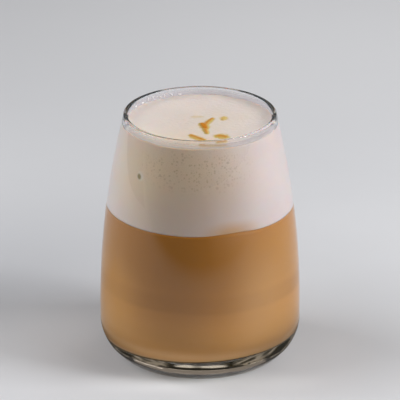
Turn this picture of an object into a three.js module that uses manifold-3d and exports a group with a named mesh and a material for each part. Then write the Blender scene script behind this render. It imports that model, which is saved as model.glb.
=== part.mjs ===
// A latte in its tumbler of clear glass: milky coffee below, a deep layer of milk foam above,
// and thin marks of brown syrup left lying on the foam. Millimetres, +Z up, with the origin at the
// centre of the ring that the glass stands on, and the drinker on the -Y side.
import * as THREE from 'three';
import { mergeVertices } from 'three/addons/utils/BufferGeometryUtils.js';
import Module from 'manifold-3d';

// Tumbler
const glassHeight = 110;
const rimRadius = 32.8;
const bellyRadius = 43.4;
const bellyLow = 17;          // the outside is upright from here ...
const bellyHigh = 22.5;       // ... to here, and then leans in towards the rim
const footRadius = 33.4;
const footWidth = 6.5;        // flat ring that the glass stands on
const puntHeight = 1.8;       // rise of the underside inside that ring
const wallThickness = 1.6;
const lipCrown = 0.3;         // the fire-polished lip is rounded this much over its width
const baseThickness = 9.6;
const innerCorner = 12;       // round corner between the wall and the floor inside
const floorLean = 0.03;       // the pressed floor rises this much per millimetre to the right
const leanFadeLow = 14;       // the lean is whole below here ...
const leanFadeHigh = 42;      // ... and gone above here

// Drink
const gap = 0.3;
const layerHeight = 68.6;     // top of the coffee, under the foam
const foamTop = 104.8;
const foamClimb = 1.4;        // the foam climbs this much where it meets the wall
const foamUnevenness = 0.2;
const layerBulge = 1.0;       // coffee that has begun to creep up into the foam
const layerBulgePlace = new THREE.Vector2(14, -35);
const layerBulgeWidth = 11;

// Smoothness of the round parts
const segments = 64;
const wallSteps = 7;
const cornerSteps = 6;
const lipSteps = 4;

// The outside is two arcs: the round corner above the foot, and the wall from the belly to the rim
const cornerDrop = bellyRadius - footRadius;
const cornerRadius = (cornerDrop ** 2 + bellyLow ** 2) / (2 * cornerDrop);
const wallDrop = bellyRadius - rimRadius;
const wallRise = glassHeight - bellyHigh;
const wallRadius = (wallDrop ** 2 + wallRise ** 2) / (2 * wallDrop);

// Outside radius of the glass at a height
function outsideRadius(z) {
  if (z < bellyLow) {
    return bellyRadius - cornerRadius + Math.sqrt(cornerRadius ** 2 - (bellyLow - z) ** 2);
  }
  if (z > bellyHigh) {
    return bellyRadius - wallRadius + Math.sqrt(wallRadius ** 2 - (z - bellyHigh) ** 2);
  }
  return bellyRadius;
}

// Profile of the inside from the wall at topHeight down to the floor on the axis,
// drawn in by a clearance on every side
function insideProfile(topHeight, clearance) {
  const radius = innerCorner - clearance;
  const cornerHeight = baseThickness + innerCorner;
  const centreRadius = bellyRadius - wallThickness - innerCorner;
  const points = [];
  for (let i = 0; i <= wallSteps; i++) {
    const z = THREE.MathUtils.lerp(topHeight, cornerHeight, i / wallSteps);
    points.push(new THREE.Vector2(outsideRadius(z) - wallThickness - clearance, z));
  }
  for (let i = 1; i <= cornerSteps; i++) {
    const angle = (i / cornerSteps) * Math.PI / 2;
    points.push(new THREE.Vector2(
      centreRadius + radius * Math.cos(angle),
      cornerHeight - radius * Math.sin(angle),
    ));
  }
  points.push(new THREE.Vector2(0, baseThickness + clearance));
  return points;
}

// Turns a profile of radius and height round the Z axis
function turned(profile) {
  const geometry = new THREE.LatheGeometry(profile, segments);
  geometry.rotateX(Math.PI / 2);
  return geometry;
}

// Moves each point of a geometry up by a height that its place gives
function raised(geometry, rise) {
  const position = geometry.attributes.position;
  for (let i = 0; i < position.count; i++) {
    const x = position.getX(i);
    const y = position.getY(i);
    const z = position.getZ(i);
    position.setZ(i, z + rise(x, y, z));
  }
  geometry.computeVertexNormals();
  return geometry;
}

// The floor inside isn't quite level: it rises to the right, fading out up the wall
function leanRise(x, z) {
  const fade = 1 - THREE.MathUtils.smoothstep(z, leanFadeLow, leanFadeHigh);
  return floorLean * x * fade;
}

// Soft lumps of the foam's top
function foamLumps(x, y) {
  const wide = Math.sin(0.17 * x + 0.9) * Math.cos(0.21 * y - 0.4);
  const fine = Math.sin(0.41 * x - 0.33 * y + 2.1) * 0.5;
  return foamUnevenness * (wide + fine);
}

// Height of the foam's top, which climbs a little where it clings to the glass
const foamEdge = foamTop + foamClimb;
const foamReach = outsideRadius(foamEdge) - wallThickness - gap;

function foamHeight(radius) {
  return foamTop + foamClimb * (radius / foamReach) ** 8;
}

function foamSurface(x, y) {
  return foamHeight(Math.hypot(x, y)) + foamLumps(x, y);
}

// Height that the coffee creeps up into the foam
function layerRise(x, y) {
  const away = Math.hypot(x - layerBulgePlace.x, y - layerBulgePlace.y) / layerBulgeWidth;
  return layerBulge * Math.exp(-(away ** 2));
}

// A closed geometry as a solid that can be joined
const manifold = await Module();
manifold.setup();

function solidOf(geometry) {
  const bare = geometry.clone();
  bare.deleteAttribute('normal');
  bare.deleteAttribute('uv');
  const merged = mergeVertices(bare, 1e-4);
  const source = merged.index.array;
  const triangles = [];
  for (let i = 0; i < source.length; i += 3) {
    const [a, b, c] = [source[i], source[i + 1], source[i + 2]];
    if (a !== b && b !== c && c !== a) {
      triangles.push(a, b, c);
    }
  }
  return new manifold.Manifold(new manifold.Mesh({
    numProp: 3,
    vertProperties: new Float32Array(merged.attributes.position.array),
    triVerts: new Uint32Array(triangles),
  }));
}

function geometryOf(solid) {
  const mesh = solid.getMesh();
  const geometry = new THREE.BufferGeometry();
  geometry.setAttribute('position', new THREE.BufferAttribute(new Float32Array(mesh.vertProperties), 3));
  geometry.setIndex(new THREE.BufferAttribute(new Uint32Array(mesh.triVerts), 1));
  geometry.computeVertexNormals();
  return geometry;
}

// The tumbler: a thick base with a shallow punt, an arched outside, and a lip with a low crown
function tumblerGeometry() {
  const profile = [];
  const puntRadius = footRadius - footWidth;
  for (const share of [0, 0.5, 1]) {
    profile.push(new THREE.Vector2(puntRadius * share, puntHeight * Math.cos(share * Math.PI / 2)));
  }
  for (let i = 0; i <= cornerSteps; i++) {
    const z = bellyLow * (i / cornerSteps) ** 1.4;
    profile.push(new THREE.Vector2(outsideRadius(z), z));
  }
  const lip = wallThickness / 2;
  const lipHeight = glassHeight - lipCrown;
  for (let i = 0; i <= wallSteps; i++) {
    const z = THREE.MathUtils.lerp(bellyHigh, lipHeight, i / wallSteps);
    profile.push(new THREE.Vector2(outsideRadius(z), z));
  }
  const lipCentre = outsideRadius(lipHeight) - lip;
  for (let i = 1; i < lipSteps; i++) {
    const angle = (i / lipSteps) * Math.PI;
    profile.push(new THREE.Vector2(
      lipCentre + lip * Math.cos(angle),
      lipHeight + lipCrown * Math.sin(angle) ** 0.7,
    ));
  }
  profile.push(...insideProfile(lipHeight, 0));
  return raised(turned(profile), (x, y, z) => {
    const isInside = z > puntHeight && Math.hypot(x, y) < outsideRadius(z) - wallThickness / 2;
    return isInside ? leanRise(x, z) : 0;
  });
}

// The coffee: it fills the glass from its floor up to the foam
function coffeeGeometry() {
  const profile = insideProfile(layerHeight, gap).reverse();
  const topRadius = profile[profile.length - 1].x;
  for (const share of [0.8, 0.5]) {
    profile.push(new THREE.Vector2(topRadius * share, layerHeight));
  }
  profile.push(new THREE.Vector2(0, layerHeight));
  return raised(turned(profile), (x, y, z) => (
    leanRise(x, z) + (z > layerHeight - gap ? layerRise(x, y) : 0)
  ));
}

// The foam without its marks: a slug with an uneven top
function foamBodyGeometry() {
  const low = layerHeight + gap;
  const wallAt = (z) => outsideRadius(z) - wallThickness - gap;
  const profile = [
    new THREE.Vector2(0, low),
    new THREE.Vector2(wallAt(low) * 0.5, low),
    new THREE.Vector2(wallAt(low) * 0.8, low),
  ];
  for (let i = 0; i <= wallSteps; i++) {
    const z = THREE.MathUtils.lerp(low, foamEdge, i / wallSteps);
    profile.push(new THREE.Vector2(wallAt(z), z));
  }
  const topRings = [0.97, 0.92, 0.84, 0.72, 0.58, 0.44, 0.3, 0.16, 0];
  for (const share of topRings) {
    profile.push(new THREE.Vector2(foamReach * share, foamHeight(foamReach * share)));
  }
  return raised(turned(profile), (x, y, z) => {
    if (z < low + gap) {
      return layerRise(x, y);
    }
    return z > foamTop - gap ? foamLumps(x, y) : 0;
  });
}

// One mark of syrup: a flat bead along a curve on the foam, drawn out to points at its ends
const markSteps = 10;
const markSides = 8;
const markSink = 0.5;         // how deep a mark's lower half sits in the foam
const markSeat = 0.12;        // its widest line lies this far above the foam

function markGeometry(places, width, height) {
  const spots = places.map(([x, y]) => new THREE.Vector3(x, y, 0));
  const curve = new THREE.CatmullRomCurve3(spots);
  const vertices = [];
  const triangles = [];
  const pointOn = (share) => {
    const point = curve.getPoint(share);
    return new THREE.Vector3(point.x, point.y, foamSurface(point.x, point.y) + markSeat);
  };
  vertices.push(pointOn(0));
  for (let i = 1; i < markSteps; i++) {
    const share = i / markSteps;
    const fullness = Math.sin(share * Math.PI) ** 0.6;
    const centre = pointOn(share);
    const along = curve.getTangent(share);
    const across = new THREE.Vector3(-along.y, along.x, 0).normalize();
    for (let j = 0; j < markSides; j++) {
      const angle = (j / markSides) * 2 * Math.PI;
      const lift = Math.sin(angle) > 0 ? height : markSink;
      const point = centre.clone().addScaledVector(across, Math.cos(angle) * width * 0.5 * fullness);
      point.z += Math.sin(angle) * lift * fullness;
      vertices.push(point);
    }
  }
  vertices.push(pointOn(1));
  const last = vertices.length - 1;
  for (let j = 0; j < markSides; j++) {
    const next = (j + 1) % markSides;
    triangles.push(0, 1 + next, 1 + j);
    for (let i = 0; i < markSteps - 2; i++) {
      const here = 1 + i * markSides;
      const there = here + markSides;
      triangles.push(here + j, here + next, there + j);
      triangles.push(here + next, there + next, there + j);
    }
    const end = 1 + (markSteps - 2) * markSides;
    triangles.push(last, end + j, end + next);
  }
  const geometry = new THREE.BufferGeometry();
  const places3d = vertices.flatMap((vertex) => vertex.toArray());
  geometry.setAttribute('position', new THREE.Float32BufferAttribute(places3d, 3));
  geometry.setIndex(triangles);
  return geometry;
}

// The marks as they lie: the routes of their middles, and each one's width and height
const marks = [
  {
    route: [[5.0, 6.2], [3.9, 3.2], [2.2, -0.2], [1.5, -3.4], [2.0, -6.6], [2.7, -9.4]],
    width: 2.6,
    height: 0.5,
  },
  { route: [[0.6, -0.6], [1.2, -1.4], [1.9, -2.4]], width: 2.8, height: 0.45 },
  { route: [[-4.6, -12.2], [-2.4, -15.0], [1.6, -18.6]], width: 2.2, height: 0.4 },
  { route: [[7.0, -13.4], [9.2, -13.4], [11.2, -14.8]], width: 3.8, height: 0.4 },
  { route: [[9.9, 5.6], [10.3, 7.2], [10.6, 8.6]], width: 2.2, height: 0.35 },
  { route: [[0.4, -25.0], [5.4, -26.4], [10.6, -25.8]], width: 2.2, height: 0.35 },
  { route: [[7.4, -22.4], [9.2, -21.9], [11.0, -21.2]], width: 1.5, height: 0.3 },
];

function foamGeometry() {
  let solid = solidOf(foamBodyGeometry());
  for (const mark of marks) {
    solid = solid.add(solidOf(markGeometry(mark.route, mark.width, mark.height)));
  }
  return geometryOf(solid);
}

function named(name, geometry, material) {
  const mesh = new THREE.Mesh(geometry, material);
  mesh.name = name;
  return mesh;
}

const clearGlass = new THREE.MeshStandardMaterial({
  color: 0xe6ecec,
  roughness: 0.04,
  metalness: 0,
  transparent: true,
  opacity: 0.35,
});
const milkyCoffee = new THREE.MeshStandardMaterial({ color: 0xad7f52, roughness: 0.35, metalness: 0 });
const milkFoam = new THREE.MeshStandardMaterial({ color: 0xe2d8d0, roughness: 0.7, metalness: 0 });

const latte = new THREE.Group();
latte.add(named('tumbler', tumblerGeometry(), clearGlass));
latte.add(named('coffee', coffeeGeometry(), milkyCoffee));
latte.add(named('milk_foam', foamGeometry(), milkFoam));

export default latte;
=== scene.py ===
import math

import bpy
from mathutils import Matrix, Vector, noise


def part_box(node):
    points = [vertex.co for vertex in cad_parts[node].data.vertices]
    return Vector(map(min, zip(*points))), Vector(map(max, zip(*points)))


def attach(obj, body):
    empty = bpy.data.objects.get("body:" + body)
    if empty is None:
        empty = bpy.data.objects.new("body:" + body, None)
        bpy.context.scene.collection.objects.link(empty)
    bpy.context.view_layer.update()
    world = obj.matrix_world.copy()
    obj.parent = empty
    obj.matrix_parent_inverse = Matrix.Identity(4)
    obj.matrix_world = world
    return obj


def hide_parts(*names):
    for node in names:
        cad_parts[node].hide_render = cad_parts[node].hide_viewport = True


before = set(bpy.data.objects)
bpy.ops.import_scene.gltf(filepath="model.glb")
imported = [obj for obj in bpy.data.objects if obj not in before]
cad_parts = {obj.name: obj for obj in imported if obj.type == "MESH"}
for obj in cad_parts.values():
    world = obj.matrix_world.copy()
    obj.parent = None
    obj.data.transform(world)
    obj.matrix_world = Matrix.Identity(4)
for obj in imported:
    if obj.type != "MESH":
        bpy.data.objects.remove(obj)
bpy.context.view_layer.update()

# Camera. A long lens looks down on the drink from the drinker's side, and its axis meets
# the middle of the glass. The tilt and the scale come from the rim's ellipse and outline.
camera_distance = 2.408
camera_tilt = math.radians(22.33)
aim_height = 0.0697
pixels_per_metre = 2315.0
photo_width = 400
sensor_width = 36.0

camera_data = bpy.data.cameras.new("long_lens")
camera_data.sensor_width = sensor_width
camera_data.lens = sensor_width * pixels_per_metre * camera_distance / photo_width
camera_data.clip_start = 0.1
camera_data.clip_end = 50.0
camera = bpy.data.objects.new("camera", camera_data)
camera.location = (
    0,
    -camera_distance * math.cos(camera_tilt),
    aim_height + camera_distance * math.sin(camera_tilt),
)
camera.rotation_euler = (math.pi / 2 - camera_tilt, 0, 0)
bpy.context.scene.collection.objects.link(camera)
bpy.context.scene.camera = camera
bpy.context.scene.view_settings.view_transform = "Standard"
bpy.context.scene.view_settings.look = "None"


# Floor. A pale matt table top in one sheet that runs far behind the glass. It is faintly
# uneven in tone, with painted shadows and painted pools of light round the drink and far behind it.
floor_half_width = 6.0
floor_colour = (0.727, 0.734, 0.760, 1)
floor_painted_light_and_shade = [
    # centre, size, softness, colour and strength of each painted shadow and painted pool of light
    ((-0.072, 0.082, 0), (0.085, 0.085, 0.1), 0.95, (0.40, 0.41, 0.44, 1), 0.52),
    ((0.062, 0.036, 0), (0.045, 0.062, 0.1), 0.95, (0.50, 0.51, 0.53, 1), 0.5),
    ((-0.078, 0.010, 0), (0.030, 0.032, 0.1), 0.95, (0.80, 0.805, 0.83, 1), 0.75),
    ((0, 0.36, 0), (0.25, 0.16, 0.1), 0.95, (0.654, 0.66, 0.684, 1), 0.75),
    ((0.09, 0.44, 0), (0.14, 0.15, 0.1), 0.95, (0.91, 0.915, 0.94, 1), 0.6),
    ((0, -0.037, 0), (0.032, 0.009, 0.1), 0.95, (0.96, 0.98, 1.0, 1), 0.75),
    ((0, -0.060, 0), (0.05, 0.018, 0.1), 0.95, (0.66, 0.67, 0.69, 1), 0.6),
]


def linked_object(name, mesh):
    piece = bpy.data.objects.new(name, mesh)
    bpy.context.scene.collection.objects.link(piece)
    return piece


def mesh_of(name, points, faces, smooth=True):
    mesh = bpy.data.meshes.new(name)
    mesh.from_pydata(points, [], faces)
    mesh.validate()
    if smooth:
        mesh.shade_smooth()
    return mesh


def set_inputs(node, values):
    """Sets a node's inputs, each to a plain value or to what another node puts out."""
    for name, value in values.items():
        if isinstance(value, bpy.types.NodeSocket):
            node.id_data.links.new(value, node.inputs[name])
        else:
            node.inputs[name].default_value = value


def new_material(name, values):
    """A material, its nodes, and its shader with the values that are the same all over."""
    material = bpy.data.materials.new(name)
    material.use_nodes = True
    nodes = material.node_tree.nodes
    set_inputs(nodes["Principled BSDF"], values)
    return material, nodes, nodes["Principled BSDF"]


def add_node(nodes, kind, values=None, **settings):
    made = nodes.new(kind)
    for name, value in settings.items():
        setattr(made, name, value)
    set_inputs(made, values or {})
    return made


def calculated(nodes, operation, *values, **settings):
    """What a Math node makes of sockets and plain numbers."""
    values = dict(enumerate(values))
    return add_node(nodes, "ShaderNodeMath", values, operation=operation, **settings).outputs[0]


def mapped(nodes, value, low, high, at_low=0.0, at_high=1.0, curve="LINEAR"):
    """Goes from at_low to at_high while the value goes from low to high, and no further."""
    ends = {"From Min": low, "From Max": high, "To Min": at_low, "To Max": at_high}
    made = add_node(nodes, "ShaderNodeMapRange", {"Value": value, **ends}, interpolation_type=curve)
    return made.outputs[0]


def eased(nodes, value, low, high, at_low=0.0, at_high=1.0):
    return mapped(nodes, value, low, high, at_low, at_high, "SMOOTHSTEP")


def tinted(nodes, colour, mask, tint, strength=1.0):
    """Mixes a tint over a colour where a mask says so."""
    if strength != 1.0:
        mask = calculated(nodes, "MULTIPLY", mask, strength)
    values = {"Factor": mask, "A": colour, "B": tint}
    mixed = add_node(nodes, "ShaderNodeMix", values, data_type="RGBA", blend_type="MIX")
    return mixed.outputs["Result"]


def new_group(name, inputs, outputs):
    """A shader node group with named sockets, and the nodes at its two ends."""
    group = bpy.data.node_groups.new(name, "ShaderNodeTree")
    for socket_name, kind, value in inputs:
        socket = group.interface.new_socket(socket_name, in_out="INPUT", socket_type=kind)
        socket.default_value = value
    for socket_name, kind in outputs:
        group.interface.new_socket(socket_name, in_out="OUTPUT", socket_type=kind)
    start = group.nodes.new("NodeGroupInput")
    end = group.nodes.new("NodeGroupOutput")
    return group, start.outputs, end


def place_group(nodes, group, values):
    return add_node(nodes, "ShaderNodeGroup", values, node_tree=group).outputs[0]


# An uneven tone: a colour that is a little lighter and darker from place to place
uneven_tone, given, end = new_group(
    "uneven_tone",
    [
        ("Colour", "NodeSocketColor", (0.8, 0.8, 0.8, 1)),
        ("Scale", "NodeSocketFloat", 50.0),
        ("Strength", "NodeSocketFloat", 0.05),
    ],
    [("Colour", "NodeSocketColor")],
)
nodes = uneven_tone.nodes
place = nodes.new("ShaderNodeTexCoord")
cloud_values = {"Vector": place.outputs["Object"], "Scale": given["Scale"], "Detail": 4.0, "Roughness": 0.55}
clouds = add_node(nodes, "ShaderNodeTexNoise", cloud_values)
centred = calculated(nodes, "SUBTRACT", clouds.outputs[0], 0.5)
scaled = calculated(nodes, "MULTIPLY", centred, given["Strength"])
factor = calculated(nodes, "MULTIPLY_ADD", scaled, 2.0, 1.0)
tone = add_node(nodes, "ShaderNodeVectorMath", {0: given["Colour"], "Scale": factor}, operation="SCALE")
set_inputs(end, {"Colour": tone.outputs[0]})

# A soft spot: a mask that is one inside an oval round a place and fades out past its edge
soft_spot, given, end = new_group(
    "soft_spot",
    [
        ("Centre", "NodeSocketVector", (0, 0, 0)),
        ("Size", "NodeSocketVector", (0.01, 0.01, 0.01)),
        ("Softness", "NodeSocketFloat", 0.5),
    ],
    [("Mask", "NodeSocketFloat")],
)
nodes = soft_spot.nodes
place = nodes.new("ShaderNodeTexCoord")
away_from = {0: place.outputs["Object"], 1: given["Centre"]}
away = add_node(nodes, "ShaderNodeVectorMath", away_from, operation="SUBTRACT")
size_of = {0: away.outputs[0], 1: given["Size"]}
sized = add_node(nodes, "ShaderNodeVectorMath", size_of, operation="DIVIDE")
distance = add_node(nodes, "ShaderNodeVectorMath", {0: sized.outputs[0]}, operation="LENGTH")
inner = calculated(nodes, "SUBTRACT", 1.0, given["Softness"])
outer = calculated(nodes, "ADD", 1.0, given["Softness"])
set_inputs(end, {"Mask": eased(nodes, distance.outputs["Value"], inner, outer, 1.0, 0.0)})


def tinted_in_places(nodes, colour, places):
    """Tints a colour in soft ovals, each with centre, size, softness, tint and strength."""
    for centre, size, softness, tint, strength in places:
        spot = place_group(nodes, soft_spot, {"Centre": centre, "Size": size, "Softness": softness})
        colour = tinted(nodes, colour, spot, tint, strength)
    return colour


corners = [(-1, -1), (1, -1), (1, 1), (-1, 1)]
floor_points = [(x * floor_half_width, y * floor_half_width, 0) for x, y in corners]
floor = linked_object("floor", mesh_of("floor", floor_points, [(0, 1, 2, 3)], smooth=False))
floor_material, nodes, shader = new_material("floor_matt", {"Roughness": 0.7, "Specular IOR Level": 0.2})
clouded = place_group(nodes, uneven_tone, {"Colour": floor_colour, "Scale": 14.0, "Strength": 0.045})
set_inputs(shader, {"Base Color": tinted_in_places(nodes, clouded, floor_painted_light_and_shade)})
floor.data.materials.append(floor_material)


# Light. The main soft box stands high on the right, weaker ones fill from the sides and above,
# and dim strips low at the back give the glass its glints. Black flags in front, on the left
# and round the foot keep the pale table out of reflections, and the room beyond is dark.
room_colour = (0.05, 0.05, 0.052)
softboxes = {
    # place of the middle, width and height, radiance
    "key": ((0.666, -0.178, 0.579), (0.35, 0.35), (13.1, 13.1, 13.1)),
    "key_front": ((0.551, -0.318, 0.636), (0.35, 0.35), (3.5, 3.5, 3.5)),
    "left": ((-0.646, -0.173, 0.602), (0.35, 0.35), (4.2, 4.2, 4.2)),
    "left_back": ((-0.615, 0.165, 0.636), (0.35, 0.35), (6.9, 6.9, 6.9)),
    "right_back": ((0.521, 0.365, 0.636), (0.35, 0.35), (0.55, 0.55, 0.55)),
    "back": ((0.289, 0.501, 0.689), (0.35, 0.35), (1.3, 1.3, 1.3)),
    "low_back": ((0, 0.71, 0.355), (1.00, 0.19), (0.18, 0.16, 0.14)),
    "low_back_middle": ((0.02, 0.69, 0.425), (0.36, 0.045), (0.44, 0.42, 0.38)),
    "low_back_right": ((0.332, 0.651, 0.335), (0.24, 0.022), (1.0, 0.98, 0.95)),
    "low_back_edge": ((0.36, 0.61, 0.385), (0.20, 0.012), (1.0, 1.0, 1.0)),
    "low_back_left": ((-0.389, 0.556, 0.43), (0.16, 0.03), (2.4, 2.4, 2.4)),
}
light_aim = Vector((0, 0, 0.05))
sheet_flags = {
    # left, right, front and back edge on the table
    "front": (-6.0, 0.34, -6.0, -0.20),
    "left": (-6.0, -0.54, -0.20, 6.0),
}
sheet_flag_height = 0.002
front_flag_right_fade = (0.06, 0.34)
front_flag_back_fade = (-0.30, -0.20)
foot_flag_height = 0.0015
foot_flag_inner = 0.038
foot_flag_outer = 0.063
foot_flag_fade = (0.050, 0.061)
foot_flag_sides = 96

world = bpy.data.worlds.new("room")
world.use_nodes = True
bpy.context.scene.world = world
world.node_tree.nodes["Background"].inputs["Color"].default_value = (*room_colour, 1)
for name, (middle, size, radiance) in softboxes.items():
    brightest = max(radiance)
    light = bpy.data.lights.new("softbox_" + name, "AREA")
    light.shape = "RECTANGLE"
    light.size, light.size_y = size
    light.energy = brightest * math.pi * size[0] * size[1]
    light.color = [part / brightest for part in radiance]
    softbox = bpy.data.objects.new("softbox_" + name, light)
    softbox.location = middle
    softbox.rotation_euler = (light_aim - Vector(middle)).to_track_quat("-Z", "Y").to_euler()
    softbox.visible_camera = False
    bpy.context.scene.collection.objects.link(softbox)


def black_flag(name, points, faces):
    """A black sheet just over the table, which only reflections show."""
    flag = linked_object("flag_" + name, mesh_of("flag_" + name, points, faces, smooth=False))
    black = {"Roughness": 0.9, "Base Color": (0, 0, 0, 1)}
    flag_material, nodes, shader = new_material("black_flag_" + name, black)
    flag.data.materials.append(flag_material)
    flag.visible_camera = False
    flag.visible_diffuse = False
    flag.visible_shadow = False
    flag.visible_transmission = False
    return nodes, shader


for name, (left, right, front, back) in sheet_flags.items():
    corners = [(left, front), (right, front), (right, back), (left, back)]
    flag_points = [(x, y, sheet_flag_height) for x, y in corners]
    nodes, shader = black_flag(name, flag_points, [(0, 1, 2, 3)])
    if name == "front":
        parts = nodes.new("ShaderNodeSeparateXYZ")
        set_inputs(parts, {0: nodes.new("ShaderNodeTexCoord").outputs["Object"]})
        right_grey = mapped(nodes, parts.outputs["X"], *front_flag_right_fade, 0.0, 0.7)
        back_grey = eased(nodes, parts.outputs["Y"], *front_flag_back_fade, 0.0, 0.66)
        set_inputs(shader, {"Base Color": calculated(nodes, "MAXIMUM", right_grey, back_grey)})

# The flag round the foot is a ring, which fades to grey at its outer edge
flag_points = []
for radius in (foot_flag_inner, foot_flag_outer):
    for j in range(foot_flag_sides):
        turn = 2 * math.pi * j / foot_flag_sides
        flag_points.append((radius * math.cos(turn), radius * math.sin(turn), foot_flag_height))
flag_faces = []
for j in range(foot_flag_sides):
    k = (j + 1) % foot_flag_sides
    flag_faces.append((j, j + foot_flag_sides, k + foot_flag_sides, k))
nodes, shader = black_flag("foot", flag_points, flag_faces)
place = nodes.new("ShaderNodeTexCoord")
from_axis = add_node(nodes, "ShaderNodeVectorMath", {0: place.outputs["Object"]}, operation="LENGTH")
ring_grey = eased(nodes, from_axis.outputs["Value"], *foot_flag_fade, 0.10, 0.7)
set_inputs(shader, {"Base Color": ring_grey})


# Tumbler. One piece of clear soda glass, blown into a mould: a rounded belly, a wall that
# leans in, a nearly flat fire-polished lip, and a thick base that stands on a ring round a punt.
mm = 0.001
tumbler_low, tumbler_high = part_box("tumbler")
glass_height = tumbler_high.z
belly_radius = tumbler_high.x
rim_radius = 32.8 * mm
foot_radius = 33.4 * mm
foot_width = 6.5 * mm
punt_height = 1.8 * mm
belly_low = 17 * mm
belly_high = 22.5 * mm
wall_thickness = 1.6 * mm
base_thickness = 9.6 * mm
inner_corner = 12 * mm
floor_lean = 0.03
lean_fade = (14 * mm, 42 * mm)
lip = wall_thickness / 2
lip_crown = 0.3 * mm
lip_flatness = 0.7
around = 192
punt_steps = 12
corner_steps = 32
corner_crowding = 1.6
wall_steps = 60
lip_steps = 16
ripple_depth = 0.08 * mm

corner_drop = belly_radius - foot_radius
corner_radius = (corner_drop**2 + belly_low**2) / (2 * corner_drop)
wall_drop = belly_radius - rim_radius
wall_rise = glass_height - belly_high
wall_radius = (wall_drop**2 + wall_rise**2) / (2 * wall_drop)


def outside_radius(z):
    if z < belly_low:
        return belly_radius - corner_radius + math.sqrt(corner_radius**2 - (belly_low - z) ** 2)
    if z > belly_high:
        return belly_radius - wall_radius + math.sqrt(wall_radius**2 - (z - belly_high) ** 2)
    return belly_radius


def smoothstep(value, low, high):
    share = min(max((value - low) / (high - low), 0), 1)
    return share * share * (3 - 2 * share)


def lean_rise(x, z):
    return floor_lean * x * (1 - smoothstep(z, *lean_fade))


def inside_profile(top, outward=0.0, steps=40):
    """Radius and height of the inside, from the wall at top down to the floor on the axis."""
    corner_height = base_thickness + inner_corner
    centre_radius = belly_radius - wall_thickness - inner_corner
    reach = inner_corner + outward
    profile = []
    for i in range(steps + 1):
        z = top + (corner_height - top) * i / steps
        profile.append((outside_radius(z) - wall_thickness + outward, z))
    for i in range(1, steps + 1):
        angle = i / steps * math.pi / 2
        place = (centre_radius + reach * math.cos(angle), corner_height - reach * math.sin(angle))
        profile.append(place)
    for share in (0.8, 0.6, 0.4, 0.2, 0):
        profile.append((centre_radius * share, base_thickness - outward))
    return profile


def turned(name, profile, lift, steps_around=around):
    """A closed mesh turned round Z from a profile that starts and ends on the axis."""
    points = []
    faces = []
    rings = []
    for radius, height in profile:
        if radius < 1e-9:
            rings.append([len(points)])
            points.append((0.0, 0.0, height))
            continue
        rings.append(list(range(len(points), len(points) + steps_around)))
        for j in range(steps_around):
            angle = 2 * math.pi * j / steps_around
            points.append((radius * math.cos(angle), radius * math.sin(angle), height))
    for low, high in zip(rings, rings[1:]):
        for j in range(steps_around):
            k = (j + 1) % steps_around
            if len(low) == 1:
                faces.append((low[0], high[k], high[j]))
            elif len(high) == 1:
                faces.append((low[j], low[k], high[0]))
            else:
                faces.append((low[j], low[k], high[k], high[j]))
    return mesh_of(name, [(x, y, z + lift(x, y, z)) for x, y, z in points], faces)


def tumbler_lift(x, y, z):
    inside = z > punt_height and math.hypot(x, y) < outside_radius(z) - wall_thickness / 2
    return lean_rise(x, z) if inside else 0.0


profile = []
punt_radius = foot_radius - foot_width
for i in range(punt_steps + 1):
    share = i / punt_steps
    profile.append((punt_radius * share, punt_height * math.cos(share * math.pi / 2)))
for i in range(corner_steps + 1):
    z = belly_low * (i / corner_steps) ** corner_crowding
    profile.append((outside_radius(z), z))
lip_height = glass_height - lip_crown
for i in range(wall_steps + 1):
    z = belly_high + (lip_height - belly_high) * i / wall_steps
    profile.append((outside_radius(z), z))
lip_centre = outside_radius(lip_height) - lip
for i in range(1, lip_steps):
    angle = i / lip_steps * math.pi
    crown = lip_crown * math.sin(angle) ** lip_flatness
    profile.append((lip_centre + lip * math.cos(angle), lip_height + crown))
profile += inside_profile(lip_height)
tumbler = linked_object("glass_tumbler", turned("glass_tumbler", profile, tumbler_lift))

# The base is warmer in tone than the thin wall, and faintly rippled
clear = {"Roughness": 0.0, "IOR": 1.5, "Transmission Weight": 1.0}
glass_material, nodes, shader = new_material("clear_glass", clear)
place = nodes.new("ShaderNodeTexCoord").outputs["Object"]
parts = add_node(nodes, "ShaderNodeSeparateXYZ", {0: place})
in_base = eased(nodes, parts.outputs["Z"], 11 * mm, 7 * mm)
glass_tone = tinted(nodes, (0.985, 0.98, 0.985, 1), in_base, (0.93, 0.84, 0.73, 1))
ripple_values = {"Vector": place, "Scale": 75.0, "Detail": 1.0, "Distortion": 0.6}
ripples = add_node(nodes, "ShaderNodeTexNoise", ripple_values)
base_ripples = calculated(nodes, "MULTIPLY", in_base, ripples.outputs[0])
uneven_values = {"Strength": 1.0, "Distance": ripple_depth, "Height": base_ripples}
uneven = add_node(nodes, "ShaderNodeBump", uneven_values)
set_inputs(shader, {"Base Color": glass_tone, "Normal": uneven.outputs[0]})

# For shadows and soft light the glass only lets light through, a little weakened
ray = nodes.new("ShaderNodeLightPath").outputs
soft_ray = calculated(nodes, "MAXIMUM", ray["Is Shadow Ray"], ray["Is Diffuse Ray"])
let_through = add_node(nodes, "ShaderNodeBsdfTransparent", {"Color": (0.89, 0.90, 0.895, 1)})
glass_values = {0: soft_ray, 1: shader.outputs[0], 2: let_through.outputs[0]}
mixed = add_node(nodes, "ShaderNodeMixShader", glass_values)
set_inputs(nodes["Material Output"], {"Surface": mixed.outputs[0]})
tumbler.data.materials.append(glass_material)
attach(tumbler, "root")
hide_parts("tumbler")


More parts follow.
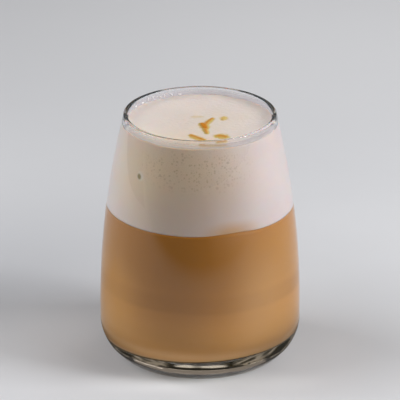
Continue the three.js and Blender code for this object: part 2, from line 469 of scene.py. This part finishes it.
# Coffee. Espresso stirred into hot milk, opaque and light brown, in soft layers. It fills the
# glass from its floor to the foam, and reaches just into the wall, so that no air shows.
into_wall = 0.15 * mm
layer_height = 68.6 * mm
layer_bulge = 1.0 * mm
layer_bulge_place = (14 * mm, -35 * mm)
layer_bulge_width = 11 * mm
coffee_top_rings = 20
coffee_layers = [
    # height in millimetres and colour
    (8.0, (0.850, 0.510, 0.320)),
    (12.0, (0.748, 0.412, 0.165)),
    (17.0, (0.607, 0.283, 0.0618)),
    (22.0, (0.590, 0.275, 0.0584)),
    (27.0, (0.622, 0.287, 0.0631)),
    (32.5, (0.602, 0.273, 0.0571)),
    (35.0, (0.492, 0.221, 0.0432)),
    (39.5, (0.496, 0.221, 0.0409)),
    (42.5, (0.556, 0.253, 0.0489)),
    (47.0, (0.530, 0.242, 0.0469)),
    (53.0, (0.519, 0.231, 0.0402)),
    (60.0, (0.524, 0.228, 0.0349)),
    (68.6, (0.515, 0.214, 0.0335)),
]
coffee_painted_light_and_shade = [
    # centre, size, softness, colour and strength: one deeper place of painted shade and dark
    #     # reflection at the front, then paler places of painted light, and a duller one low on the right
    ((-0.005, -0.040, 0.056), (0.027, 0.03, 0.028), 0.85, (0.325, 0.124, 0.024, 1), 0.74),
    ((0.026, -0.032, 0.034), (0.011, 0.013, 0.018), 0.85, (0.62, 0.34, 0.14, 1), 0.5),
    ((-0.038, -0.018, 0.022), (0.010, 0.014, 0.012), 0.85, (0.66, 0.35, 0.11, 1), 0.5),
    ((-0.037, -0.020, 0.036), (0.009, 0.020, 0.014), 0.85, (0.74, 0.35, 0.07, 1), 0.45),
    ((0.034, -0.022, 0.016), (0.014, 0.020, 0.012), 0.85, (0.49, 0.25, 0.08, 1), 0.55),
]
drift_height = 3 * mm


def layer_rise(x, y):
    away = math.hypot(x - layer_bulge_place[0], y - layer_bulge_place[1]) / layer_bulge_width
    return layer_bulge * math.exp(-(away**2))


def coffee_lift(x, y, z):
    top = z > layer_height - 0.1 * mm
    return lean_rise(x, z) + (layer_rise(x, y) if top else 0.0)


profile = inside_profile(layer_height, into_wall)
profile.reverse()
top_radius = profile[-1][0]
for i in range(1, coffee_top_rings + 1):
    profile.append((top_radius * (1 - i / coffee_top_rings), layer_height))
coffee = linked_object("milky_coffee", turned("milky_coffee", profile, coffee_lift))

# The emission strength serves the painted highlights further down
smooth_wet_and_painted_glow = {"Roughness": 0.05, "Specular IOR Level": 0.08, "Emission Strength": 1.0}
coffee_material, nodes, shader = new_material("milky_coffee", smooth_wet_and_painted_glow)
surface = nodes.new("ShaderNodeTexCoord").outputs
place = surface["Object"]
parts = add_node(nodes, "ShaderNodeSeparateXYZ", {0: place})
drift = add_node(nodes, "ShaderNodeTexNoise", {"Vector": place, "Scale": 22.0, "Detail": 2.0})
drift_rise = calculated(nodes, "MULTIPLY_ADD", drift.outputs[0], drift_height, -drift_height / 2)
layer_place = calculated(nodes, "ADD", parts.outputs["Z"], drift_rise)
layer_low = coffee_layers[0][0] * mm
layer_top = coffee_layers[-1][0] * mm
ramp_values = {0: mapped(nodes, layer_place, layer_low, layer_top)}
ramp = add_node(nodes, "ShaderNodeValToRGB", ramp_values)
ramp.color_ramp.interpolation = "EASE"
stops = ramp.color_ramp.elements
for number, (height, colour) in enumerate(coffee_layers):
    position = (height * mm - layer_low) / (layer_top - layer_low)
    if number == 0:
        stop = stops[0]
    elif number == len(coffee_layers) - 1:
        stop = stops[-1]
    else:
        stop = stops.new(position)
    stop.position = position
    stop.color = (*colour, 1)
shown = place_group(nodes, uneven_tone, {"Colour": ramp.outputs[0], "Scale": 55.0, "Strength": 0.05})
shown = tinted_in_places(nodes, shown, coffee_painted_light_and_shade)
# Painted shade: the coffee is darker where it faces down, at its bottom
facing = add_node(nodes, "ShaderNodeSeparateXYZ", {0: surface["Normal"]})
painted_shade_below = eased(nodes, facing.outputs["Z"], -0.865, -0.915)
shown = tinted(nodes, shown, painted_shade_below, (0.10, 0.065, 0.02, 1), 0.92)


def mirrored_by_glass(nodes, ray):
    """A mask of what is seen by way of a polished face of the glass."""
    return calculated(nodes, "MULTIPLY", ray["Is Singular Ray"], ray["Is Reflection Ray"])


# Painted reflection: where the polished base mirrors the coffee, the coffee is painted a dark
# olive as painted shade, with two short painted highlights in the middle that shine by emission,
# and faint painted streaks of light towards the sides
edge_start_slope = 0.41
edge_start = (12.7 * mm, 13.0 * mm)
edge_end_slope = 2.7
edge_end = (15.6 * mm, 16.4 * mm)
edge_half_width = (1.15 * mm, 1.4 * mm)
edge_gap_left = 0.12 * mm
edge_gap = (0.1 * mm, 0.3 * mm)
streaks_start = (1.5 * mm, 1.8 * mm)

mirrored = mirrored_by_glass(nodes, nodes.new("ShaderNodeLightPath").outputs)
across = calculated(nodes, "ABSOLUTE", parts.outputs["X"])
start_place = calculated(nodes, "MULTIPLY_ADD", across, edge_start_slope, parts.outputs["Z"])
end_place = calculated(nodes, "MULTIPLY_ADD", across, edge_end_slope, parts.outputs["Z"])
past_start = mapped(nodes, start_place, *edge_start)
before_end = mapped(nodes, end_place, *edge_end, 1.0, 0.06)
edge_height = calculated(nodes, "MULTIPLY", past_start, before_end)
from_gap = calculated(nodes, "ADD", parts.outputs["X"], edge_gap_left)
gap_distance = calculated(nodes, "ABSOLUTE", from_gap)
beside_gap = mapped(nodes, gap_distance, *edge_gap, 0.45, 1.0)
in_middle = mapped(nodes, across, *edge_half_width, 1.0, 0.12)
edge_width = calculated(nodes, "MULTIPLY", in_middle, beside_gap)
painted_highlight = calculated(nodes, "MULTIPLY", edge_height, edge_width)
painted_mirror_image = tinted(nodes, (0.035, 0.024, 0.005, 1), painted_highlight, (0.95, 0.84, 0.68, 1))
shown = tinted(nodes, shown, mirrored, painted_mirror_image)
# The painted highlights give off light of their own, though the coffee is no lamp
painted_glint_mask = calculated(nodes, "MULTIPLY", painted_highlight, mirrored)
painted_glint_light = tinted(nodes, (0, 0, 0, 1), painted_glint_mask, (0.21, 0.19, 0.155, 1))
# Painted streaks of light towards the sides, seen only in the glass's mirror
streaks = add_node(nodes, "ShaderNodeTexNoise", {"Vector": place, "Scale": 3000.0, "Detail": 1.0})
painted_streak_light = mapped(nodes, streaks.outputs[0], 0.42, 0.58, 0.12, 1.0)
at_side = mapped(nodes, across, *streaks_start)
painted_side_streaks = calculated(nodes, "MULTIPLY", painted_streak_light, at_side)
mirrored_painted_streaks = calculated(nodes, "MULTIPLY", painted_side_streaks, mirrored)
painted_glint_light = tinted(nodes, painted_glint_light, mirrored_painted_streaks, (0.23, 0.195, 0.15, 1))
set_inputs(shader, {"Base Color": shown, "Emission Color": painted_glint_light})
coffee.data.materials.append(coffee_material)
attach(coffee, "root")
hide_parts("coffee")


# Milk foam. Fine wet foam floats on the coffee in a deep layer, a little brown from it, and
# climbs where it clings to the glass. Strokes of brown syrup are poured thinly on its top.
foam_top = 104.8 * mm
foam_climb = 1.4 * mm
foam_unevenness = 0.2 * mm
foam_grain = 0.05 * mm
foam_edge = foam_top + foam_climb
foam_reach = outside_radius(foam_edge) - wall_thickness + into_wall
foam_around = 384
under_rings = 12
side_rings = 60
top_rings = 110
side_colour = (0.825, 0.715, 0.685, 1)
top_colour = (0.69, 0.605, 0.56, 1)
# the dark colour of the painted reflection and painted shade at the foam's sides
painted_gap_shade = (0.045, 0.055, 0.065, 1)
syrup_strokes = [
    # places along the stroke in millimetres, width and height of its relief, and strength
    ([(5.4, 6.2), (4.2, 3.4), (2.6, 0.4), (2.0, -3.0), (2.3, -6.6), (2.9, -10.2)], 2.0, 0.5, 0.84),
    ([(0.9, 0.0), (1.7, -2.0), (2.4, -4.8)], 2.8, 0.45, 1.0),
    ([(-3.8, -12.4), (-2.0, -15.0), (1.8, -18.6)], 2.6, 0.4, 0.84),
    ([(7.6, -13.4), (9.2, -13.4), (10.9, -14.6)], 3.7, 0.4, 0.84),
    ([(9.9, 5.6), (10.3, 7.0), (10.6, 8.2)], 2.5, 0.35, 0.64),
    ([(0.4, -25.0), (5.4, -26.4), (10.6, -25.8)], 2.4, 0.35, 0.8),
    ([(7.4, -22.4), (9.2, -21.9), (11.0, -21.2)], 1.7, 0.3, 0.85),
    ([(-3.4, 9.1), (0.9, 9.2)], 2.0, 0.0, 0.3),
]
syrup_left, syrup_right = -10 * mm, 16 * mm
syrup_front, syrup_back = -30 * mm, 11 * mm
syrup_spread = 2.4
foam_stains_and_painted_shade = [
    # centre, size, softness, colour and strength: yellowed by syrup in the middle of the top
    ((0.004, 0.002, 0.105), (0.017, 0.016, 0.02), 0.9, (0.62, 0.53, 0.42, 1), 0.45),
    # browner as painted shade on the dim front of the side, and creamy beside that
    ((-0.010, -0.035, 0.088), (0.023, 0.022, 0.030), 0.75, (0.73, 0.56, 0.34, 1), 0.68),
    ((-0.029, -0.022, 0.091), (0.013, 0.018, 0.017), 0.9, (0.95, 0.80, 0.57, 1), 0.45),
    # painted shade: duller low down and on the right, and browner under the front of the lip
    ((0.008, -0.038, 0.070), (0.034, 0.02, 0.016), 0.9, (0.60, 0.50, 0.48, 1), 0.6),
    ((0.041, -0.010, 0.088), (0.013, 0.030, 0.030), 0.8, (0.70, 0.62, 0.64, 1), 0.6),
    ((-0.001, -0.037, 0.093), (0.012, 0.020, 0.018), 0.9, (0.50, 0.37, 0.27, 1), 0.22),
    # coffee has risen into the foam's lower edge at the front
    ((0.0135, -0.036, 0.0697), (0.0085, 0.012, 0.0034), 0.85, (0.60, 0.33, 0.13, 1), 0.75),
]
bubble_wall_and_painted_hollow = [
    # the same for one open bubble against the glass: its pale wall, then painted shade in its hollow
    ((-0.0250, -0.0252, 0.0911), (0.0014, 0.0024, 0.0021), 0.35, (0.86, 0.80, 0.70, 1), 0.75),
    ((-0.0255, -0.0250, 0.0908), (0.0008, 0.0016, 0.0012), 0.45, (0.30, 0.24, 0.08, 1), 0.8),
]


def foam_lumps(x, y):
    wide = math.sin(0.17 * x / mm + 0.9) * math.cos(0.21 * y / mm - 0.4)
    fine = math.sin(0.41 * x / mm - 0.33 * y / mm + 2.1) * 0.5
    return foam_unevenness * (wide + fine)


def foam_height(radius):
    return foam_top + foam_climb * (radius / foam_reach) ** 8


def distance_to_route(x, y, route):
    """Distance to a route of straight lines, and how far along it the nearest place is."""
    nearest = 1e9
    along = 0.0
    for number, ((ax, ay), (bx, by)) in enumerate(zip(route, route[1:])):
        length = (bx - ax) ** 2 + (by - ay) ** 2
        share = ((x - ax) * (bx - ax) + (y - ay) * (by - ay)) / length
        share = min(max(share, 0), 1)
        away = math.hypot(x - ax - share * (bx - ax), y - ay - share * (by - ay))
        if away < nearest:
            nearest = away
            along = (number + share) / (len(route) - 1)
    return nearest, along


def rounded_route(route, rounds=2):
    """Cuts the corners off a route, so that it bends softly."""
    for _ in range(rounds):
        cut = [route[0]]
        for (ax, ay), (bx, by) in zip(route, route[1:]):
            cut.append((ax * 0.75 + bx * 0.25, ay * 0.75 + by * 0.25))
            cut.append((ax * 0.25 + bx * 0.75, ay * 0.25 + by * 0.75))
        cut.append(route[-1])
        route = cut
    return route


smooth_strokes = [(rounded_route(stroke[0]), *stroke[1:]) for stroke in syrup_strokes]


def syrup_at(x, y):
    """How much syrup lies at a place, from none to one, and its height."""
    most = 0.0
    tallest = 0.0
    if not (syrup_left < x < syrup_right and syrup_front < y < syrup_back):
        return most, tallest
    for route, width, height, strength in smooth_strokes:
        away, along = distance_to_route(x / mm, y / mm, route)
        ragged = noise.noise(Vector((x * 900, y * 900, height * 40))) * 0.25
        half = width / 2 * (0.75 + 0.35 * math.sin(math.pi * along)) * (1 + ragged)
        cover = strength * (1 - smoothstep(away, 0, half * syrup_spread))
        most = max(most, cover)
        tallest = max(tallest, height * mm * math.sqrt(max(0.0, 1 - (away / half) ** 2)))
    return most, tallest


def foam_lift(x, y, z):
    if z < layer_height + 0.1 * mm:
        return layer_rise(x, y)
    if z < foam_top - 0.1 * mm or math.hypot(x, y) > foam_reach - 0.1 * mm and z < foam_edge - 0.1 * mm:
        return 0.0
    grain = noise.noise(Vector((x * 700, y * 700, 3.0))) * foam_grain
    return foam_lumps(x, y) + grain + syrup_at(x, y)[1]


profile = []
for i in range(under_rings):
    profile.append((outside_radius(layer_height) * i / under_rings, layer_height))
for i in range(side_rings + 1):
    z = layer_height + (foam_edge - layer_height) * i / side_rings
    profile.append((outside_radius(z) - wall_thickness + into_wall, z))
for i in range(1, top_rings + 1):
    radius = foam_reach * (1 - i / top_rings)
    profile.append((radius, foam_height(radius)))
foam = linked_object("milk_foam_slug", turned("milk_foam_slug", profile, foam_lift, foam_around))
syrup_cover = foam.data.attributes.new("syrup", "FLOAT", "POINT")
for vertex, cover in zip(foam.data.vertices, syrup_cover.data):
    on_top = vertex.co.z > foam_top - 0.5 * mm
    cover.value = syrup_at(vertex.co.x, vertex.co.y)[0] if on_top else 0.0

# Pores: small round pits of uneven size, as one mask
pores, given, end = new_group(
    "pores",
    [
        ("Scale", "NodeSocketFloat", 900.0),
        ("Size", "NodeSocketFloat", 0.4),
        ("Rarity", "NodeSocketFloat", 2.0),
    ],
    [("Mask", "NodeSocketFloat")],
)
nodes = pores.nodes
place = nodes.new("ShaderNodeTexCoord")
cell_values = {"Vector": place.outputs["Object"], "Scale": given["Scale"], "Randomness": 1.0}
cells = add_node(nodes, "ShaderNodeTexVoronoi", cell_values, feature="F1")
chance = add_node(nodes, "ShaderNodeSeparateColor", {0: cells.outputs["Color"]})
small = calculated(nodes, "POWER", chance.outputs[0], given["Rarity"])
reach = calculated(nodes, "MULTIPLY", small, given["Size"])
core = calculated(nodes, "MULTIPLY", reach, 0.5)
set_inputs(end, {"Mask": eased(nodes, cells.outputs["Distance"], core, reach, 1.0, 0.0)})

soft_wet = {
    "Subsurface Weight": 1.0,
    "Subsurface Radius": (1.0, 0.65, 0.45),
    "Subsurface Scale": 0.8 * mm,
    "Specular IOR Level": 0.12,
}
foam_material, nodes, shader = new_material("milk_foam", soft_wet)
surface = nodes.new("ShaderNodeTexCoord").outputs
place = surface["Object"]
facing = add_node(nodes, "ShaderNodeSeparateXYZ", {0: surface["Normal"]})
upward = eased(nodes, facing.outputs["Z"], 0.45, 0.8)
side = place_group(nodes, uneven_tone, {"Colour": side_colour, "Scale": 90.0, "Strength": 0.04})
top = place_group(nodes, uneven_tone, {"Colour": top_colour, "Scale": 120.0, "Strength": 0.05})
shown = tinted(nodes, side, upward, top)
shown = tinted_in_places(nodes, shown, foam_stains_and_painted_shade)

# Open bubbles against the glass, their pits darkened with painted shade
fine_pores = place_group(nodes, pores, {"Scale": 950.0, "Size": 0.62, "Rarity": 1.0})
wide_pores = place_group(nodes, pores, {"Scale": 420.0, "Size": 0.36, "Rarity": 3.0})
pore_place = {"Centre": (-0.002, -0.037, 0.0965), "Size": (0.019, 0.022, 0.0085), "Softness": 0.7}
porous = place_group(nodes, soft_spot, pore_place)
fine_here = calculated(nodes, "MULTIPLY", fine_pores, porous)
wide_here = calculated(nodes, "MULTIPLY", wide_pores, porous)
shown = tinted(nodes, shown, fine_here, (0.42, 0.30, 0.17, 1), 0.45)
shown = tinted(nodes, shown, wide_here, (0.34, 0.24, 0.15, 1), 0.45)
shown = tinted_in_places(nodes, shown, bubble_wall_and_painted_hollow)

# Syrup: olive where it thins out into the foam, amber where it is thick
syrup = add_node(nodes, "ShaderNodeAttribute", attribute_name="syrup").outputs["Fac"]
thin_syrup = eased(nodes, syrup, 0.0, 0.6)
thick_syrup = eased(nodes, syrup, 0.55, 0.95)
shown = tinted(nodes, shown, thin_syrup, (0.55, 0.38, 0.08, 1), 0.88)
shown = tinted(nodes, shown, thick_syrup, (0.53, 0.185, 0.008, 1), 0.95)

# Painted reflection: at the sides, where the polished wall mirrors the foam, also through the lip,
# # the foam is painted dark as the gap behind it. The foam's outmost edge on the left and right of
# # its top is painted dark too, as painted shade
gap_slope = 0.577
gap_start = (31.3 * mm, 32.8 * mm)
outmost_edge = (30.7 * mm, 31.1 * mm)
few_bends = 2.5

ray = nodes.new("ShaderNodeLightPath").outputs
mirrored = mirrored_by_glass(nodes, ray)
often_bent = calculated(nodes, "GREATER_THAN", ray["Ray Depth"], few_bends)
guided = calculated(nodes, "MULTIPLY", often_bent, ray["Is Singular Ray"])
either = calculated(nodes, "MAXIMUM", mirrored, guided)
parts = add_node(nodes, "ShaderNodeSeparateXYZ", {0: place})
across = calculated(nodes, "ABSOLUTE", parts.outputs["X"])
sideways = calculated(nodes, "MULTIPLY_ADD", parts.outputs["Y"], gap_slope, across)
painted_side_reflection = calculated(nodes, "MULTIPLY", either, eased(nodes, sideways, *gap_start))
painted_edge_shade = calculated(nodes, "MULTIPLY", mapped(nodes, across, *outmost_edge), upward)
shown = tinted(nodes, shown, calculated(nodes, "MAXIMUM", painted_side_reflection, painted_edge_shade), painted_gap_shade)

# The side is wet against the glass, the top is matt, and the syrup shines a little
roughness = mapped(nodes, upward, 0.0, 1.0, 0.05, 0.55)
shine = calculated(nodes, "MULTIPLY_ADD", thick_syrup, -0.3, roughness)
froth = add_node(nodes, "ShaderNodeTexNoise", {"Vector": place, "Scale": 1400.0, "Detail": 3.0})
froth_top = calculated(nodes, "MULTIPLY", froth.outputs[0], upward)
froth_values = {"Strength": 0.25, "Distance": 0.3 * mm, "Height": froth_top}
froth_bump = add_node(nodes, "ShaderNodeBump", froth_values)
set_inputs(shader, {"Base Color": shown, "Roughness": shine, "Normal": froth_bump.outputs[0]})
foam.data.materials.append(foam_material)
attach(foam, "root")
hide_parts("milk_foam")


# Clinging froth. Thin streaks and small bubbles of milk that stayed on the inside of the
# glass, just over the foam, when it sank a little.
froth_streaks = [
    # azimuth from the right in degrees, height in millimetres, half width, half height, tilt
    (135, 107.5, 0.45, 1.1, 0.3),
    (130, 107.4, 0.4, 0.8, -0.6),
    (123, 107.1, 0.9, 0.55, 0.5),
    (119, 107.3, 0.35, 0.8, 0.3),
    (113, 107.2, 0.9, 0.4, 0.6),
    (141, 106.9, 0.9, 0.5, 0.0),
    (150, 106.8, 1.0, 0.5, 0.2),
    (106, 106.8, 1.0, 0.4, 0.1),
]
froth_thickness = 0.35 * mm
froth_sunk = 0.1 * mm
froth_rings = 5
froth_sides = 14


def froth_ring(streak, share, on_front):
    """Places round a streak, at a share of its half width and half height."""
    azimuth, height, half_width, half_height, tilt = streak
    places = []
    for j in range(1 if share == 0 else froth_sides):
        turn = 2 * math.pi * j / froth_sides
        across = math.cos(turn) * share * half_width * mm
        up = math.sin(turn) * share * half_height * mm + tilt * across
        z = height * mm + up
        bulge = froth_thickness * math.sqrt(1 - share**2)
        depth = bulge - froth_sunk / 2 if on_front else -froth_sunk
        radius = outside_radius(z) - wall_thickness - depth
        angle = math.radians(azimuth) + across / radius
        places.append((radius * math.cos(angle), radius * math.sin(angle), z))
    return places


def froth_patch(streak, points, faces):
    """Adds a low dome on the inside of the wall, closed behind just inside the glass."""
    rows = []
    for on_front in (True, False):
        for ring in range(froth_rings + (0 if on_front else 1)):
            places = froth_ring(streak, ring / froth_rings, on_front)
            rows.append(list(range(len(points), len(points) + len(places))))
            points += places
    front = rows[:froth_rings] + [rows[-1]]
    behind = rows[froth_rings:]
    for layers, flip in ((front, False), (behind, True)):
        for inner, outer in zip(layers, layers[1:]):
            for j in range(froth_sides):
                k = (j + 1) % froth_sides
                if len(inner) == 1:
                    face = (inner[0], outer[j], outer[k])
                else:
                    face = (inner[j], outer[j], outer[k], inner[k])
                faces.append(face[::-1] if flip else face)


froth_points = []
froth_faces = []
for streak in froth_streaks:
    froth_patch(streak, froth_points, froth_faces)
clinging_froth = linked_object("clinging_froth", mesh_of("clinging_froth", froth_points, froth_faces))
froth_material, nodes, shader = new_material("clinging_froth", {"Roughness": 0.3})
froth_tone = {"Colour": (0.93, 0.91, 0.92, 1), "Scale": 600.0, "Strength": 0.1}
set_inputs(shader, {"Base Color": place_group(nodes, uneven_tone, froth_tone)})
clinging_froth.data.materials.append(froth_material)
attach(clinging_froth, "root")


# Milk film. A thin lilac-white veil of milk that ran back off the inside of the glass, from the
# foam up towards the lip, thicker near the foam and ragged above.
film_low = foam_edge - 0.8 * mm
film_high = glass_height - 0.9 * mm
film_gap = 0.04 * mm
film_rings = 10
film_around = 160
film_raggedness = 0.24

film_points = []
film_faces = []
for i in range(film_rings + 1):
    z = film_low + (film_high - film_low) * i / film_rings
    radius = outside_radius(z) - wall_thickness - film_gap
    for j in range(film_around):
        angle = 2 * math.pi * j / film_around
        film_points.append((radius * math.cos(angle), radius * math.sin(angle), z))
for i in range(film_rings):
    for j in range(film_around):
        k = (j + 1) % film_around
        low = i * film_around
        high = low + film_around
        film_faces.append((low + j, high + j, high + k, low + k))
milk_film = linked_object("milk_film", mesh_of("milk_film", film_points, film_faces))
film_material, nodes, shader = new_material("milk_film", {"Roughness": 0.4})
place = nodes.new("ShaderNodeTexCoord").outputs["Object"]
parts = add_node(nodes, "ShaderNodeSeparateXYZ", {0: place})
thinning = mapped(nodes, parts.outputs["Z"], film_low, film_high, 0.66, 0.2)
streaky = add_node(nodes, "ShaderNodeTexNoise", {"Vector": place, "Scale": 130.0, "Detail": 2.0})
ragged = calculated(nodes, "MULTIPLY_ADD", streaky.outputs[0], film_raggedness, -film_raggedness / 2)
veil = calculated(nodes, "ADD", thinning, ragged, use_clamp=True)
film_tone = {"Colour": (0.745, 0.68, 0.735, 1), "Scale": 300.0, "Strength": 0.03}
clouded = place_group(nodes, uneven_tone, film_tone)
set_inputs(shader, {"Base Color": clouded, "Alpha": veil})
milk_film.data.materials.append(film_material)
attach(milk_film, "root")
